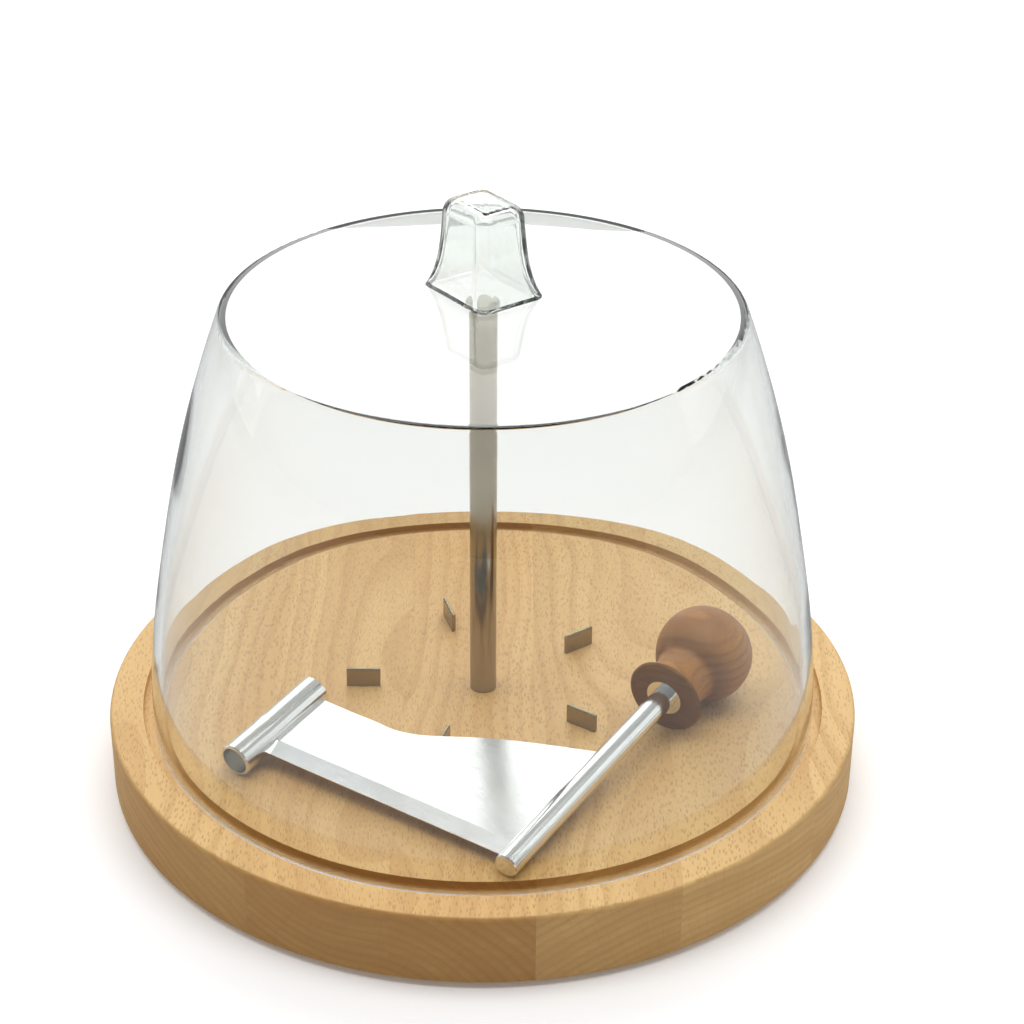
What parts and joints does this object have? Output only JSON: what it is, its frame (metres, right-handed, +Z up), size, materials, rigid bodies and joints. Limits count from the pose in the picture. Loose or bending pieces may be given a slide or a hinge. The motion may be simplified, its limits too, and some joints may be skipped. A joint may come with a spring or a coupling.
{
  "type": "cheese curler",
  "caption": "Round wooden board with an upright steel spindle and cheese grips, a loose scraper with a hub tube, blade and turning knob, and a clear lift-off cover.",
  "frame": {"origin": "centre of the round board, on the surface that its feet stand on", "axes": "+Z up along the spindle, -Y the front, +X to the right; the planks run along Y"},
  "size_m": [0.225, 0.225, 0.1809],
  "materials": {
    "board_wood": "oiled beech, flecked along the grain",
    "knob_wood": "turned, stained darker than the board",
    "clear_plastic": "clear and polished",
    "polished_steel": "polished stainless steel",
    "blade_steel": "satin",
    "grip_steel": "satin",
    "screw_steel": "plated",
    "foot_rubber": "matt"
  },
  "bodies": {
    "base": {"board_plank_1": "board_wood", "board_plank_2": "board_wood", "board_plank_3": "board_wood", "board_plank_4": "board_wood", "board_plank_5": "board_wood", "board_plank_6": "board_wood", "foot_back_left": "foot_rubber", "foot_back_right": "foot_rubber", "foot_front_left": "foot_rubber", "foot_front_right": "foot_rubber", "grip_back_left": "grip_steel", "grip_back_right": "grip_steel", "grip_front_left": "grip_steel", "grip_front_right": "grip_steel", "grip_left": "grip_steel", "spindle": "polished_steel", "spindle_screw": "screw_steel", "spindle_washer": "screw_steel"},
    "cover": {"cover_shell": "clear_plastic", "cover_handle": "clear_plastic"},
    "scraper": {"scraper_hub": "polished_steel", "scraper_blade": "blade_steel", "scraper_weld": "polished_steel", "handle_rod": "polished_steel", "knob_screw": "screw_steel", "knob_washer": "screw_steel"},
    "knob": {"wooden_knob": "knob_wood", "knob_bush": "polished_steel"}
  },
  "joints": [
    {"name": "cover_lift", "type": "slide", "parent": "base", "child": "cover", "axis": [0, 0, 1], "range_m": [0, 0.25]},
    {"name": "scraper_turn", "type": "hinge", "parent": "base", "child": "scraper", "pos_m": [0, 0, 0.0235], "axis": [0, 0, 1], "continuous": true},
    {"name": "knob_spin", "type": "hinge", "parent": "scraper", "child": "knob", "pos_m": [0.06497, -0.00643, 0.03798], "axis": [0.549, 0.8295, 0.1028], "continuous": true}
  ]
}
